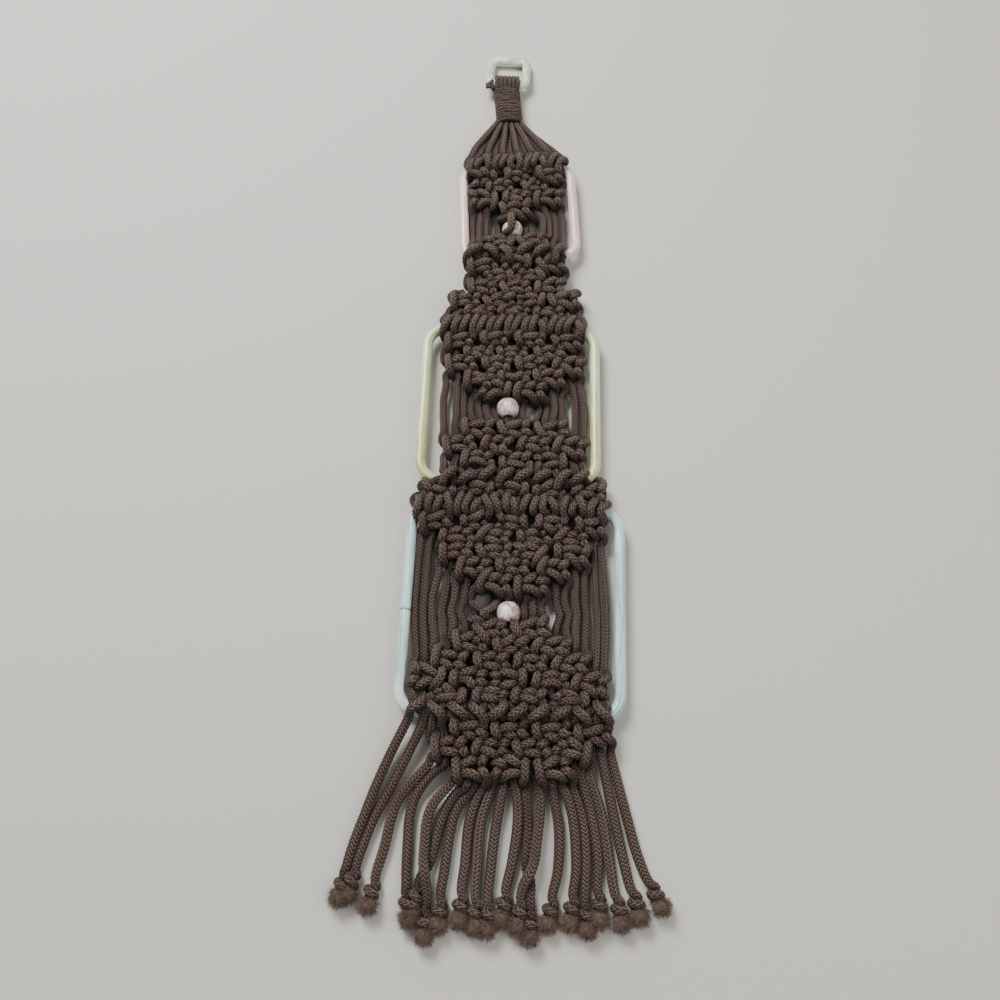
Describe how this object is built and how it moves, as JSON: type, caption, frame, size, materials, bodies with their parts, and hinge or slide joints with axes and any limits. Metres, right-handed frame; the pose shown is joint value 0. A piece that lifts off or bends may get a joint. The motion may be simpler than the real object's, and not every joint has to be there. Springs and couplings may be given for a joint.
{
  "type": "macrame wall hanging",
  "caption": "Long macrame wall hanging in dark brown braided cord, knotted through square plastic rings that grow downwards, with marbled beads and a knotted fringe.",
  "frame": {"origin": "middle of the outline seen from the front, on the surface that it lies on", "axes": "+Y up the hanging to its hanging ring, +Z out of its face, +X to its right as seen from the front"},
  "size_m": [0.2832, 0.9417, 0.026],
  "materials": {
    "cord_brown": "dark brown braided cord",
    "ring_pale_green": "pale green cream, marbled",
    "ring_pink": "pale pink, marbled",
    "ring_yellow_green": "pale yellow green, marbled",
    "ring_mint": "pale mint, marbled",
    "bead_marbled": "off-white with brown marbling"
  },
  "bodies": {
    "root": {"hanging_ring": "ring_pale_green", "ring_small": "ring_pink", "ring_middle": "ring_yellow_green", "ring_large": "ring_mint", "bead_top": "bead_marbled", "bead_middle": "bead_marbled", "bead_bottom": "bead_marbled", "fan_cords": "cord_brown", "neck_wrap": "cord_brown", "wrap_tail": "cord_brown", "net_top": "cord_brown", "net_middle": "cord_brown", "net_bottom": "cord_brown", "fringe": "cord_brown"}
  },
  "joints": []
}
